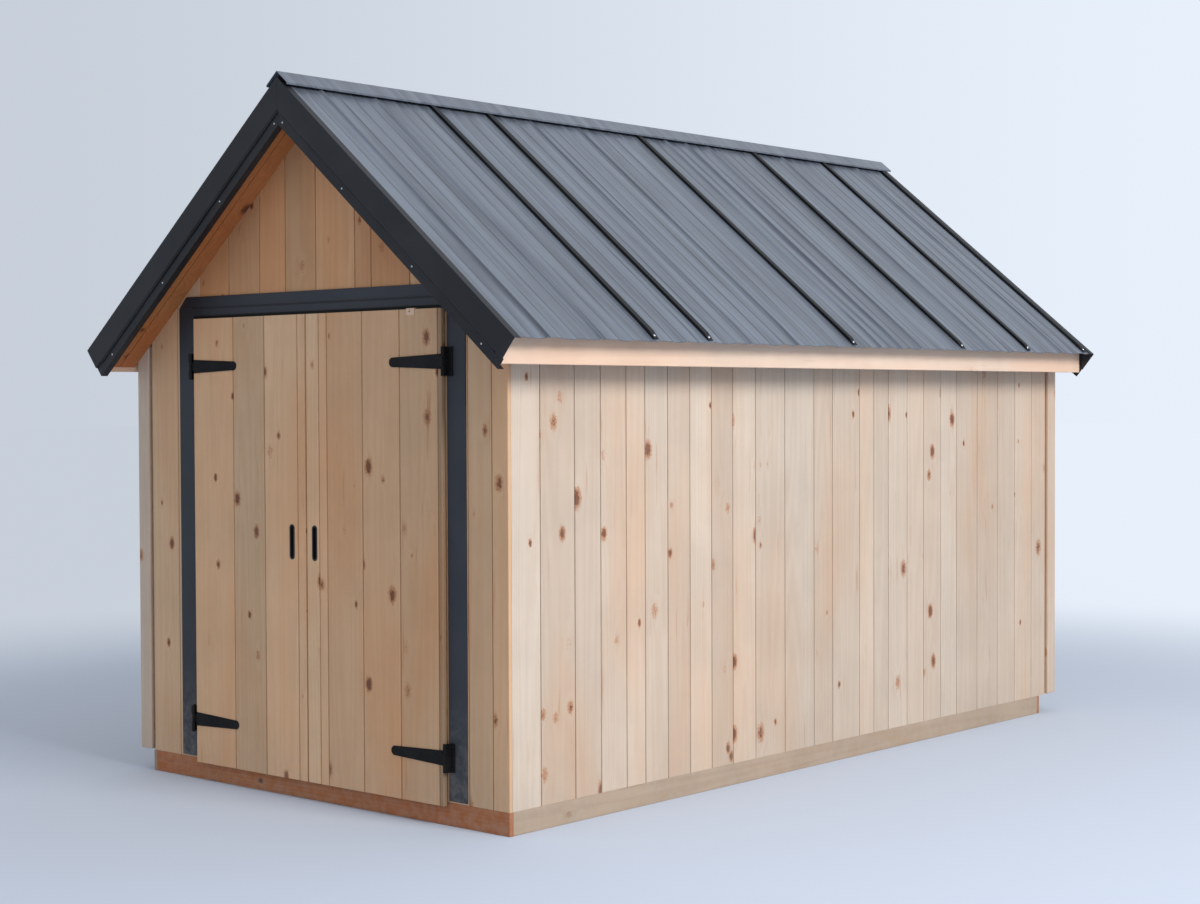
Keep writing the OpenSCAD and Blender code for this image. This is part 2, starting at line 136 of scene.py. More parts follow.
# Screws on the rake trims: shares of the slope, depth below the sheets and the step's depth behind the face
RAKE_SCREWS, RAKE_SCREW_DEPTH, RAKE_STEP = (0.08, 0.35, 0.65, 0.93), 0.12, 0.0072

# A screw head's crown, height and seat, and the size of one arm of its recess, as shares of its radius
HEAD_CROWN, HEAD_RISE, HEAD_SEAT = 0.62, 0.45, 0.2
RECESS_SIZE, RECESS_SEAT = (0.85, 0.17, 0.08), 0.4

# Hinges: half a plate's height, the screws along a strap and up a plate, and how proud their faces are
HALF_PLATE, IRON_PROUD, PLATE_INSET = 0.054, 0.003, 0.012
STRAP_SCREWS, PLATE_SCREWS = (0.045, 0.115, 0.185, 0.255), (-0.04, 0.0, 0.04)

# The backdrop is a little darker towards the doors' left than towards the long wall
BACKDROP_DIM, BACKDROP_BRIGHT = (0.575, 0.625, 0.70, 1), (0.80, 0.87, 0.965, 1)
BACKDROP_WAY = (0.752, 0.66, 0.0)


def even_seams(low, high, pitch, wander):
    """Joints of boards about one pitch wide, with a little difference from board to board."""
    count = round((high - low) / pitch)
    return [low + (high - low) * k / count + rng.uniform(-wander, wander) for k in range(1, count)]


# ---------------------------------------------------------------- materials


def new_group(name, inputs, outputs):
    group = bpy.data.node_groups.new(name, "ShaderNodeTree")
    for label, kind, default in inputs:
        socket = group.interface.new_socket(label, in_out="INPUT", socket_type=kind)
        if default is not None:
            socket.default_value = default
    for label, kind in outputs:
        group.interface.new_socket(label, in_out="OUTPUT", socket_type=kind)
    return group, group.nodes.new("NodeGroupInput"), group.nodes.new("NodeGroupOutput")


class Nodes:
    """Short ways to add and join nodes in one tree."""

    def __init__(self, tree):
        self.tree = tree

    def add(self, kind, **values):
        node = self.tree.nodes.new(kind)
        for key, value in values.items():
            setattr(node, key, value)
        return node

    def join(self, source, target):
        self.tree.links.new(source, target)

    def feed(self, socket, value):
        if isinstance(value, bpy.types.NodeSocket):
            self.join(value, socket)
        else:
            socket.default_value = value

    def math(self, operation, a, b=0.0, c=None, clamp=False):
        node = self.add("ShaderNodeMath", operation=operation, use_clamp=clamp)
        self.feed(node.inputs[0], a)
        self.feed(node.inputs[1], b)
        if c is not None:
            self.feed(node.inputs[2], c)
        return node.outputs[0]

    def remap(self, value, low, high, to_low=0.0, to_high=1.0):
        node = self.add("ShaderNodeMapRange", interpolation_type="SMOOTHSTEP")
        for socket, v in zip(node.inputs, (value, low, high, to_low, to_high)):
            self.feed(socket, v)
        return node.outputs[0]

    def noise(self, vector, scale, detail=2.0, rough=0.5):
        node = self.add("ShaderNodeTexNoise")
        self.feed(node.inputs["Vector"], vector)
        node.inputs["Scale"].default_value = scale
        node.inputs["Detail"].default_value = detail
        node.inputs["Roughness"].default_value = rough
        return node.outputs["Fac"]

    def stretch(self, vector, scale):
        node = self.add("ShaderNodeVectorMath", operation="MULTIPLY")
        self.feed(node.inputs[0], vector)
        node.inputs[1].default_value = scale
        return node.outputs[0]

    def mix(self, factor, a, b):
        node = self.add("ShaderNodeMix", data_type="RGBA")
        self.feed(node.inputs[0], factor)
        self.feed(node.inputs[6], a)
        self.feed(node.inputs[7], b)
        return node.outputs[2]


def timber_grain_group():
    """Growth rings, fibres and knots of a board whose grain runs along Z."""
    group, given, result = new_group(
        "timber_grain",
        [("Vector", "NodeSocketVector", None), ("Board", "NodeSocketFloat", 0.0),
         ("Knot Scale", "NodeSocketFloat", 7.0)],
        [("Rings", "NodeSocketFloat"), ("Fibre", "NodeSocketFloat"), ("Knot", "NodeSocketFloat"),
         ("Halo", "NodeSocketFloat"), ("Streak", "NodeSocketFloat"), ("Height", "NodeSocketFloat")],
    )
    n = Nodes(group)
    shift = n.add("ShaderNodeVectorMath", operation="SCALE")
    shift.inputs[0].default_value = (37.0, 19.0, 53.0)
    n.join(given.outputs["Board"], shift.inputs["Scale"])
    own = n.add("ShaderNodeVectorMath", operation="ADD")
    n.join(given.outputs["Vector"], own.inputs[0])
    n.join(shift.outputs[0], own.inputs[1])
    place = own.outputs[0]

    knots = n.add("ShaderNodeTexVoronoi", feature="F1")
    n.join(n.stretch(place, (1.0, 1.0, 0.62)), knots.inputs["Vector"])
    n.join(given.outputs["Knot Scale"], knots.inputs["Scale"])
    ragged = n.math("MULTIPLY_ADD", n.noise(place, 110.0, 3.0, 0.6), 0.16, -0.08)
    chance = n.add("ShaderNodeSeparateColor")
    n.join(knots.outputs["Color"], chance.inputs[0])
    size = n.math("MULTIPLY_ADD", n.math("POWER", chance.outputs[0], 1.6), 0.95, 0.45)
    away = n.math("ADD", n.math("DIVIDE", knots.outputs["Distance"], size), ragged)
    knot = n.remap(away, 0.115, 0.085)
    halo = n.remap(away, 0.185, 0.115)
    bend = n.remap(away, 0.42, 0.0)

    # Fine resin streaks, which run up and down near some of the knots
    streak = n.remap(n.noise(n.stretch(place, (55.0, 55.0, 2.6)), 1.0, 3.0, 0.55), 0.63, 0.74)
    streak = n.math("MULTIPLY", streak, n.remap(away, 1.1, 0.1))
    figure = n.noise(n.stretch(place, (9.0, 9.0, 0.3)), 1.0, 1.5, 0.4)
    phase = n.math("ADD", n.math("MULTIPLY", figure, 70.0), n.math("MULTIPLY", bend, 5.0))
    rings = n.math("MULTIPLY_ADD", n.math("SINE", phase), 0.5, 0.5)
    fibre = n.noise(n.stretch(place, (260.0, 260.0, 7.0)), 1.0, 4.0, 0.65)
    height = n.math("ADD", n.math("MULTIPLY", fibre, 0.7), n.math("MULTIPLY", rings, 0.3))
    found = {"Rings": rings, "Fibre": fibre, "Knot": knot, "Halo": halo, "Streak": streak, "Height": height}
    for label, value in found.items():
        n.join(value, result.inputs[label])
    return group


def wear_group():
    """Broad smudges, and dust that lies thicker low down."""
    group, given, result = new_group(
        "smudge_and_dust",
        [("Vector", "NodeSocketVector", None), ("Dust Height", "NodeSocketFloat", 0.35)],
        [("Smudge", "NodeSocketFloat"), ("Dust", "NodeSocketFloat")],
    )
    n = Nodes(group)
    smudge = n.remap(n.noise(given.outputs["Vector"], 3.2, 5.0, 0.6), 0.35, 0.7)
    split = n.add("ShaderNodeSeparateXYZ")
    n.join(given.outputs["Vector"], split.inputs[0])
    share = n.math("DIVIDE", split.outputs["Z"], given.outputs["Dust Height"])
    low = n.math("SUBTRACT", 1.0, share, clamp=True)
    dust = n.math("MULTIPLY", low, n.remap(n.noise(given.outputs["Vector"], 24.0, 4.0, 0.6), 0.3, 0.75))
    n.join(smudge, result.inputs["Smudge"])
    n.join(dust, result.inputs["Dust"])
    return group


TIMBER_GRAIN = timber_grain_group()
SMUDGE_AND_DUST = wear_group()
# Turns that lay a board's grain, which the group has along Z, along another axis
GRAIN_ALONG = {"Z": (0, 0, 0), "Y": (math.pi / 2, 0, 0), "X": (0, math.pi / 2, 0)}


def new_material(name):
    material = bpy.data.materials.new(name)
    material.use_nodes = True
    tree = material.node_tree
    return material, Nodes(tree), tree.nodes["Principled BSDF"]


def place_on_object(n):
    return n.add("ShaderNodeTexCoord").outputs["Object"]


def wear(n, place, dust_height):
    node = n.add("ShaderNodeGroup", node_tree=SMUDGE_AND_DUST)
    n.join(place, node.inputs["Vector"])
    node.inputs["Dust Height"].default_value = dust_height
    return node.outputs


def bump(n, shader, height, strength, distance):
    node = n.add("ShaderNodeBump")
    node.inputs["Strength"].default_value = strength
    node.inputs["Distance"].default_value = distance
    n.join(height, node.inputs["Height"])
    n.join(node.outputs["Normal"], shader.inputs["Normal"])


def heart_colour(deep):
    """The warmer colour of heartwood, from a board's darker tone."""
    return deep[0] * 1.12, deep[1] * 0.80, deep[2] * 0.58


def timber(name, pale, deep, halo_colour, knot_colour, along="Z", knot_scale=8.2, contrast=0.32,
        spread=0.3, ripeness=0.42):
    """Planed softwood, with a tone of its own on each board."""
    material, n, shader = new_material(name)
    place = place_on_object(n)
    turn = n.add("ShaderNodeMapping")
    turn.inputs["Rotation"].default_value = GRAIN_ALONG[along]
    n.join(place, turn.inputs["Vector"])
    board = n.add("ShaderNodeAttribute", attribute_name="board").outputs["Fac"]
    tone = n.add("ShaderNodeAttribute", attribute_name="tone").outputs["Fac"]
    grain = n.add("ShaderNodeGroup", node_tree=TIMBER_GRAIN)
    n.join(turn.outputs[0], grain.inputs["Vector"])
    n.join(board, grain.inputs["Board"])
    grain.inputs["Knot Scale"].default_value = knot_scale

    fibre = n.math("MULTIPLY", grain.outputs["Fibre"], 0.4)
    figure = n.math("MULTIPLY_ADD", grain.outputs["Rings"], contrast, fibre)
    colour = n.mix(figure, (*pale, 1), (*deep, 1))
    hue = n.remap(n.noise(n.stretch(turn.outputs[0], (2.5, 2.5, 0.7)), 1.0, 3.0), 0.42, 0.68)
    ripe = n.math("ADD", n.math("MULTIPLY", n.math("FRACT", n.math("MULTIPLY", board, 7.31)), ripeness),
        n.math("MULTIPLY", hue, 0.34))
    colour = n.mix(ripe, colour, (*heart_colour(deep), 1))
    colour = n.mix(n.math("MULTIPLY", grain.outputs["Streak"], 0.55), colour, (*halo_colour, 1))
    colour = n.mix(n.math("MULTIPLY", grain.outputs["Halo"], 0.75), colour, (*halo_colour, 1))
    colour = n.mix(n.math("MULTIPLY", grain.outputs["Knot"], 0.9), colour, (*knot_colour, 1))
    marks = wear(n, place, 0.3)
    colour = n.mix(n.math("MULTIPLY", marks["Smudge"], 0.16), colour, (*[c * 0.62 for c in deep], 1))
    colour = n.mix(n.math("MULTIPLY", marks["Dust"], 0.3), colour, (0.45, 0.4, 0.34, 1))
    shade = n.math("MULTIPLY", tone, n.math("MULTIPLY_ADD", board, spread, 1.0 - spread / 2))
    shaded = n.add("ShaderNodeVectorMath", operation="SCALE")
    n.join(colour, shaded.inputs[0])
    n.join(shade, shaded.inputs["Scale"])
    n.join(shaded.outputs[0], shader.inputs["Base Color"])
    n.join(n.math("MULTIPLY_ADD", grain.outputs["Fibre"], 0.25, 0.48), shader.inputs["Roughness"])
    shader.inputs["Specular IOR Level"].default_value = 0.35
    bump(n, shader, grain.outputs["Height"], 0.35, 0.0012)
    return material


def coated_metal(name, colour, roughness, streak=0.12, fine=0.08, gleam=0.5, dust_height=0.5):
    """Satin coating on folded sheet: lighter and darker streaks down the slope, partly painted reflection and
    partly uneven coating, fine orange peel and smudges.
    """
    material, n, shader = new_material(name)
    place = place_on_object(n)
    sheen_streaks = n.noise(n.stretch(place, (1.1, 21.0, 1.1)), 1.0, 4.0, 0.6)
    peel = n.noise(place, 420.0, 2.0)
    marks = wear(n, place, dust_height)
    # The lighter streak colour is partly a painted reflection and partly uneven coating
    light = [min(1.0, c * (1 + 2.2 * streak) + 0.02 * streak) for c in colour]
    dark = [c * (1 - 1.6 * streak) for c in colour]
    base = n.mix(n.remap(sheen_streaks, 0.3, 0.7), (*dark, 1), (*light, 1))
    base = n.mix(n.math("MULTIPLY", marks["Smudge"], 0.14), base, (*[0.5 * c + 0.08 for c in colour], 1))
    base = n.mix(n.math("MULTIPLY", marks["Dust"], 0.35), base, (0.36, 0.34, 0.31, 1))
    n.join(base, shader.inputs["Base Color"])
    low, high = roughness
    rough = n.math("MULTIPLY_ADD", sheen_streaks, high - low, low)
    n.join(n.math("MULTIPLY_ADD", marks["Smudge"], 0.08, rough), shader.inputs["Roughness"])
    shader.inputs["Specular IOR Level"].default_value = gleam
    bump(n, shader, peel, fine, 0.0004)
    return material


def bare_metal(name, colour, roughness):
    """Zinc-plated steel with fine scratches."""
    material, n, shader = new_material(name)
    place = place_on_object(n)
    scratch = n.noise(n.stretch(place, (900.0, 260.0, 900.0)), 1.0, 3.0, 0.7)
    n.join(n.mix(scratch, (*[c * 0.7 for c in colour], 1), (*colour, 1)), shader.inputs["Base Color"])
    n.join(n.math("MULTIPLY_ADD", scratch, 0.2, roughness), shader.inputs["Roughness"])
    shader.inputs["Metallic"].default_value = 1.0
    bump(n, shader, scratch, 0.15, 0.0002)
    return material


HALO, KNOT = (0.42, 0.16, 0.06), (0.15, 0.046, 0.018)
FRAME_PALE, FRAME_DEEP = (0.62, 0.46, 0.31), (0.48, 0.33, 0.20)
materials = {
    "cladding": timber("pine_cladding", (0.62, 0.53, 0.44), (0.51, 0.41, 0.32), HALO, KNOT, knot_scale=7.4,
        spread=0.16, ripeness=0.2),
    "gable": timber("pine_gable", (0.70, 0.45, 0.255), (0.55, 0.30, 0.145), (0.42, 0.15, 0.05), KNOT,
        ripeness=0.75),
    "door_boards": timber("pine_door_boards", (0.71, 0.52, 0.345), (0.58, 0.385, 0.225), HALO, KNOT,
        spread=0.26),
    "fascia": timber("pine_fascia", (0.80, 0.63, 0.50), (0.70, 0.51, 0.385), (0.55, 0.32, 0.2),
        (0.3, 0.14, 0.08), along="Y", knot_scale=4.5, contrast=0.25, spread=0.1),
    "soffit": timber("pine_roof_boards", (0.58, 0.34, 0.17), (0.42, 0.21, 0.09), HALO, KNOT, along="Y"),
    "soffit_slope": timber("pine_soffit", (0.62, 0.27, 0.095), (0.44, 0.15, 0.045), (0.3, 0.08, 0.025), KNOT,
        along="X", knot_scale=7.0),
    "framing": timber("pine_framing", FRAME_PALE, FRAME_DEEP, HALO, KNOT, knot_scale=6.0),
    "framing_y": timber("pine_framing_long", FRAME_PALE, FRAME_DEEP, HALO, KNOT, along="Y"),
    "framing_x": timber("pine_framing_cross", FRAME_PALE, FRAME_DEEP, HALO, KNOT, along="X"),
    "floor_boards": timber("pine_floor", (0.60, 0.45, 0.30), (0.46, 0.31, 0.19), HALO, KNOT, along="Y"),
    "base_x": timber("base_board_brown", (0.47, 0.205, 0.075), (0.33, 0.12, 0.04), (0.17, 0.06, 0.02),
        (0.05, 0.022, 0.012), along="X", knot_scale=6.5, contrast=0.5),
    "base_y": timber("base_board_pale", (0.46, 0.36, 0.27), (0.36, 0.265, 0.19), (0.26, 0.14, 0.08),
        (0.1, 0.05, 0.03), along="Y", knot_scale=5.5),
    "roof_metal": coated_metal("roof_sheet_coating", (0.088, 0.104, 0.134), (0.24, 0.38), streak=0.19),
    "rib_metal": coated_metal("rib_coating", (0.003, 0.0033, 0.0042), (0.42, 0.58), streak=0.2, gleam=0.18),
    "trim_metal": coated_metal("trim_coating", (0.0075, 0.008, 0.0105), (0.4, 0.55), streak=0.15, gleam=0.36),
    "surround_metal": coated_metal("door_surround_coating", (0.0155, 0.019, 0.028), (0.36, 0.5), gleam=0.42),
    "black_iron": coated_metal("hinge_powder_coat", (0.0025, 0.0025, 0.003), (0.42, 0.55), streak=0.1,
        fine=0.35, gleam=0.12, dust_height=0.05),
    "black_plastic": coated_metal("pull_black", (0.009, 0.009, 0.01), (0.4, 0.52), streak=0.05, fine=0.25),
    "zinc": bare_metal("zinc_screw", (0.72, 0.73, 0.75), 0.25),
    # Dark colour for the screw recesses: painted shade in place of a hollow
    "recess_painted_shade": coated_metal("screw_recess", (0.02, 0.02, 0.02), (0.6, 0.7), streak=0.05),
}


# ---------------------------------------------------------------- shaping


def copy_of(node):
    """The node's mesh as one clean closed shape, with its flat faces whole."""
    bm = bmesh.new()
    bm.from_mesh(frame["nodes"][node].data)
    bmesh.ops.remove_doubles(bm, verts=bm.verts, dist=1e-5)
    bmesh.ops.dissolve_limit(bm, angle_limit=math.radians(1.0), verts=bm.verts, edges=bm.edges)
    return bm


def keep_between(bm, across, low, high):
    """Cuts away what lies outside two planes, and closes the cuts."""
    for place, out in ((low, -across), (high, across)):
        geom = bm.verts[:] + bm.edges[:] + bm.faces[:]
        bmesh.ops.bisect_plane(bm, geom=geom, plane_co=across * place, plane_no=out, clear_outer=True,
            dist=1e-6)
        rim = [e for e in bm.edges if e.is_boundary]
        if rim:
            bmesh.ops.holes_fill(bm, edges=rim, sides=0)


def runs_along(edge, grain):
    way = edge.verts[1].co - edge.verts[0].co
    return way.length > 1e-6 and abs(way.normalized().dot(grain)) > 0.999


def bevel(bm, edges, width, segments=2):
    if edges:
        bmesh.ops.bevel(bm, geom=edges, offset=width, offset_type="OFFSET", segments=segments, profile=0.5,
            affect="EDGES", clamp_overlap=True, material=-1)


def mark(bm, board, tone=1.0):
    """Gives a whole board its own number, which sets its grain and shade."""
    layers = bm.verts.layers.float
    numbers = layers.get("board") or layers.new("board")
    tones = layers.get("tone") or layers.new("tone")
    for vert in bm.verts:
        vert[numbers], vert[tones] = board, tone


def mark_islands(bm):
    """Gives each separate shape in a node a number of its own."""
    layers = bm.verts.layers.float
    numbers, tones = layers.new("board"), layers.new("tone")
    seen = set()
    for start in bm.verts:
        if start in seen:
            continue
        value, stack = rng.random(), [start]
        seen.add(start)
        while stack:
            vert = stack.pop()
            vert[numbers], vert[tones] = value, 1.0
            for edge in vert.link_edges:
                other = edge.other_vert(vert)
                if other not in seen:
                    seen.add(other)
                    stack.append(other)


def pour(bm, into):
    """Adds one shape to another and frees the first."""
    holder = bpy.data.meshes.new("holder")
    bm.to_mesh(holder)
    bm.free()
    into.from_mesh(holder)
    bpy.data.meshes.remove(holder)


def new_piece(bm, name, body, finishes, stands_for=(), smooth=False):
    mesh = bpy.data.meshes.new(name)
    bm.to_mesh(mesh)
    bm.free()
    for finish in finishes:
        mesh.materials.append(finish)
    if smooth:
        mesh.shade_smooth()
    piece = bpy.data.objects.new(name, mesh)
    bpy.context.scene.collection.objects.link(piece)
    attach(piece, body)
    if stands_for:
        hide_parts(*stands_for)
    return piece


def body_of(node):
    return frame["nodes"][node]["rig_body"]


def cut_into_boards(node, name, across, grain, seams, finish, chamfer=0.003, tones=None):
    """The node as separate boards with eased long edges, and a tongue closing each seam of a flat wall."""
    low, high = (c.dot(across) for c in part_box(node))
    places = [low, *[s for s in seams if low + LEAST_BOARD < s < high - LEAST_BOARD], high]
    wall = bmesh.new()
    for k, (a, b) in enumerate(zip(places, places[1:])):
        board = copy_of(node)
        a_cut = a + SEAM_GAP / 2 if k else a - PAST_END
        b_cut = b - SEAM_GAP / 2 if b is not places[-1] else b + PAST_END
        keep_between(board, across, a_cut, b_cut)
        sides = [min(v.co.dot(across) for v in board.verts), max(v.co.dot(across) for v in board.verts)]
        long_edges = [e for e in board.edges if runs_along(e, grain)
            and any(abs(e.verts[0].co.dot(across) - s) < NEAR_SIDE for s in sides)]
        bevel(board, long_edges, chamfer)
        mark(board, rng.random(), (tones or {}).get(k, 1.0))
        pour(board, wall)
    through = Vector(abs(c) for c in across.cross(grain))
    back, front = (c.dot(through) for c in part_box(node))
    thick = front - back
    if thick < FLAT_WALL:
        for seam in places[1:-1]:
            tongue = copy_of(node)
            keep_between(tongue, across, seam - SEAM_GAP, seam + SEAM_GAP)
            keep_between(tongue, through, back + TONGUE_FROM * thick, back + TONGUE_TO * thick)
            # The tongue's darker tone is painted shade in its seam
            mark(tongue, 0.5, TONGUE_PAINTED_SHADE)
            pour(tongue, wall)
    return new_piece(wall, name, body_of(node), [finish], [node])


def ease(node, name, finish, width, segments=2, angle=25.0):
    """The node with its sharp edges rounded."""
    bm = copy_of(node)
    sharp = [e for e in bm.edges if len(e.link_faces) == 2 and e.calc_face_angle() > math.radians(angle)]
    bevel(bm, sharp, width, segments)
    mark_islands(bm)
    return new_piece(bm, name, body_of(node), [finish], [node])


def turn_to(direction):
    return Vector((0, 0, 1)).rotation_difference(direction).to_matrix().to_4x4()


def screws(name, body, places, radius, finish):
    """Low domed heads with a cross recess, drawn as a dark cross of painted shade, each at a point and facing
    a direction.
    """
    bm = bmesh.new()
    for point, direction in places:
        stand = Matrix.Translation(point) @ turn_to(direction)
        stand = stand @ Matrix.Rotation(rng.uniform(0, math.pi), 4, "Z")
        bmesh.ops.create_cone(bm, cap_ends=True, segments=14, radius1=radius, radius2=radius * HEAD_CROWN,
            depth=radius * HEAD_RISE, matrix=stand @ Matrix.Translation((0, 0, radius * HEAD_SEAT)))
        arm_size = Matrix.Diagonal((*[radius * share for share in RECESS_SIZE], 1))
        for way in (0, math.pi / 2):
            arm = bmesh.ops.create_cube(bm, size=1.0, matrix=stand
                @ Matrix.Translation((0, 0, radius * RECESS_SEAT)) @ Matrix.Rotation(way, 4, "Z") @ arm_size)
            for face in {f for v in arm["verts"] for f in v.link_faces}:
                face.material_index = 1
    mark(bm, 0.5)
    return new_piece(bm, name, body, [finish, materials["recess_painted_shade"]])


# ---------------------------------------------------------------- walls and doors

DOOR_CHAMFER = 0.0045
cut_into_boards("front_wall_left", "front_left_boards", X, Z, FRONT_LEFT_SEAMS, materials["door_boards"])
cut_into_boards("front_wall_right", "front_right_boards", X, Z, FRONT_RIGHT_SEAMS, materials["door_boards"])
cut_into_boards("front_gable", "gable_boards", X, Z, GABLE_SEAMS, materials["gable"])
cut_into_boards("right_wall", "right_wall_boards", Y, Z, SIDE_SEAMS, materials["cladding"])
left_low, left_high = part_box("left_wall")
cut_into_boards("left_wall", "left_wall_boards", Y, Z,
    even_seams(left_low.y, left_high.y, LEFT_BOARD, WALL_WANDER), materials["cladding"])
back_low, back_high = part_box("back_wall")
cut_into_boards("back_wall", "back_wall_boards", X, Z,
    even_seams(back_low.x, back_high.x, BACK_BOARD, WALL_WANDER), materials["cladding"])
ease("corner_strips", "corner_boards", materials["cladding"], 0.004)
cut_into_boards("left_door", "left_door_boards", X, Z, LEFT_DOOR_SEAMS, materials["door_boards"],
    chamfer=DOOR_CHAMFER)
# The outermost board of the right door is a narrow, dark one
cut_into_boards("right_door", "right_door_boards", X, Z, RIGHT_DOOR_SEAMS, materials["door_boards"],
    chamfer=DOOR_CHAMFER, tones={len(RIGHT_DOOR_SEAMS): 0.5})

# ---------------------------------------------------------------- roof timber, floor and base

soffit_low, soffit_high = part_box("front_soffit")
cut_into_boards("front_soffit", "soffit_boards", Y, Vector((math.cos(PITCH), 0, -math.sin(PITCH))),
    [soffit_low.y + 0.09], materials["soffit_slope"])
for hand in ("left", "right"):
    low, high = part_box("roof_deck_" + hand)
    cut_into_boards("roof_deck_" + hand, "roof_boards_" + hand, X, Y,
        even_seams(low.x, high.x, ROOF_BOARD, 0.0), materials["soffit"], chamfer=0.002)
    ease("eave_fascia_" + hand, "fascia_board_" + hand, materials["fascia"], 0.003)
    ease("rafters_" + hand, "rafter_timbers_" + hand, materials["framing_x"], 0.002)
floor_low, floor_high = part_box("floor_deck")
cut_into_boards("floor_deck", "floor_boards", X, Y, even_seams(floor_low.x, floor_high.x, FLOOR_BOARD, 0.0),
    materials["floor_boards"], chamfer=0.0015)
for node in ("front_frame_left", "front_frame_right", "front_gable_frame", "back_frame", "left_frame",
        "right_frame"):
    ease(node, node + "_timbers", materials["framing"], 0.002)
ease("ridge_board", "ridge_timber", materials["framing_y"], 0.002)
ease("floor_joists", "floor_joist_timbers", materials["framing_x"], 0.002)
for hand in ("left", "right"):
    ease(hand + "_door_ledges", hand + "_ledge_boards", materials["framing_x"], 0.003)
for side, finish in (("front", "base_x"), ("back", "base_x"), ("left", "base_y"), ("right", "base_y")):
    ease("base_" + side, f"base_{side}_board", materials[finish], 0.0025)

# ---------------------------------------------------------------- roof metal


def fold_height(y, folds):
    """Height of the thin folds and of the sheet's slight waviness, at a place along the eave."""
    rise = sum(FOLD_RISE * math.exp(-((y - f) / FOLD_WIDTH) ** 2) for f in folds)
    from_crease = ((y / CREASE_PITCH) % 1.0 - 0.5) * CREASE_PITCH
    small = CREASE_RISE * math.exp(-(from_crease / CREASE_WIDTH) ** 2)
    return rise + small + 0.0007 * math.sin(y * 23.0) + 0.0004 * math.sin(y * 61.0 + 1.3)


def roof_sheet(hand):
    """Folded sheet in the slope's own axes, then turned to the pitch."""
    sign = 1 if hand == "right" else -1
    folds = [sign * f + (0.0 if sign > 0 else LEFT_FOLD_SHIFT) for f in ROOF_FOLDS]
    wide = sheet_high.y - sheet_low.y
    bm = bmesh.new()
    bmesh.ops.create_grid(bm, x_segments=28, y_segments=1400, size=0.5)
    bmesh.ops.scale(bm, vec=(sheet_length - 0.004, wide, 1.0), verts=bm.verts)
    bmesh.ops.translate(bm, vec=(sheet_length / 2, 0, -0.001), verts=bm.verts)
    for vert in bm.verts:
        u, y = vert.co.x, vert.co.y
        eave = max(0.0, 1 - (sheet_length - u) / SAG_LENGTH)
        vert.co.z += fold_height(y, folds) - SAG_DEPTH * eave * (1 + math.sin(y * 41.0))
    bmesh.ops.solidify(bm, geom=bm.faces[:], thickness=SHEET_THICKNESS)
    if sign < 0:
        bmesh.ops.scale(bm, vec=(-1, 1, 1), verts=bm.verts)
    bmesh.ops.rotate(bm, cent=(0, 0, 0), matrix=Matrix.Rotation(sign * PITCH, 3, "Y"), verts=bm.verts)
    bmesh.ops.translate(bm, vec=(0, 0, ridge_z), verts=bm.verts)
    bmesh.ops.recalc_face_normals(bm, faces=bm.faces)
    mark(bm, 0.5)
    node = "roof_sheet_" + hand
    return new_piece(bm, "folded_sheet_" + hand, "root", [materials["roof_metal"]], [node])


def on_slope(sign, u, y, out):
    """A point u down the slope and out from the sheets."""
    c, s = math.cos(PITCH), math.sin(PITCH)
    return Vector((sign * (u * c + out * s), y, ridge_z - u * s + out * c))


for hand, sign in (("left", -1), ("right", 1)):
    roof_sheet(hand)
    ease("roof_ribs_" + hand, "roof_rib_covers_" + hand, materials["rib_metal"], 0.0025)
    rib_edges = sorted({round(v.co.y, 3) for v in frame["nodes"]["roof_ribs_" + hand].data.vertices})
    middles = [(a + b) / 2 for a, b in zip(rib_edges[::2], rib_edges[1::2])]
    outwards = Vector((sign * math.sin(PITCH), 0, math.cos(PITCH)))
    screws("rib_screws_" + hand, "root",
        [(on_slope(sign, sheet_length - 0.026, y, 0.006), outwards) for y in middles], 0.006,
        materials["zinc"])
    for end in ("front", "back"):
        ease(f"rake_{end}_{hand}", f"rake_{end}_{hand}_trim", materials["trim_metal"], 0.0009)
ease("ridge_cap", "ridge_cap_cover", materials["roof_metal"], 0.0008)

# A rounded bead stands in the step of each rake trim, and screws hold its lower band
rake_low, rake_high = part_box("rake_front_right")


def rake_bead(end, hand, sign, face, facing):
    """A thin round bar down the slope, a little wavy, cut upright short of the eave."""
    start = Vector((0, face, ridge_z - BEAD_DEPTH / math.cos(PITCH) + 0.001)) - facing * 0.0036
    length = sheet_length + 0.006
    bm = bmesh.new()
    bmesh.ops.create_cone(bm, cap_ends=True, segments=12, radius1=BEAD_RADIUS, radius2=BEAD_RADIUS,
        depth=length)
    bmesh.ops.translate(bm, vec=(0, 0, length / 2), verts=bm.verts)
    bmesh.ops.subdivide_edges(bm, edges=[e for e in bm.edges if runs_along(e, Z)], cuts=40)
    for vert in bm.verts:
        vert.co.x += 0.0009 * math.sin(vert.co.z * 31.0) * math.sin(vert.co.z * 7.0)
    way = Vector((sign * math.cos(PITCH), 0, -math.sin(PITCH)))
    bmesh.ops.transform(bm, matrix=Matrix.Translation(start) @ turn_to(way), verts=bm.verts)
    geom = bm.verts[:] + bm.edges[:] + bm.faces[:]
    bmesh.ops.bisect_plane(bm, geom=geom, plane_co=(sign * (rake_high.x - BEAD_SHORT), 0, 0),
        plane_no=(sign, 0, 0), clear_outer=True)
    bmesh.ops.holes_fill(bm, edges=[e for e in bm.edges if e.is_boundary], sides=0)
    mark(bm, 0.5)
    return new_piece(bm, f"rake_bead_{end}_{hand}", "root", [materials["trim_metal"]],
        smooth=True)


for end, facing in (("front", -Y), ("back", Y)):
    for hand, sign in (("left", -1), ("right", 1)):
        face = rake_low.y if end == "front" else -rake_low.y
        rake_bead(end, hand, sign, face, facing)
        spots = [on_slope(sign, sheet_length * share, face, -RAKE_SCREW_DEPTH) for share in RAKE_SCREWS]
        screws(f"rake_screws_{end}_{hand}", "root",
            [(spot - facing * RAKE_STEP, facing) for spot in spots], 0.0045, materials["zinc"])

# ---------------------------------------------------------------- door trims, hinges and pulls

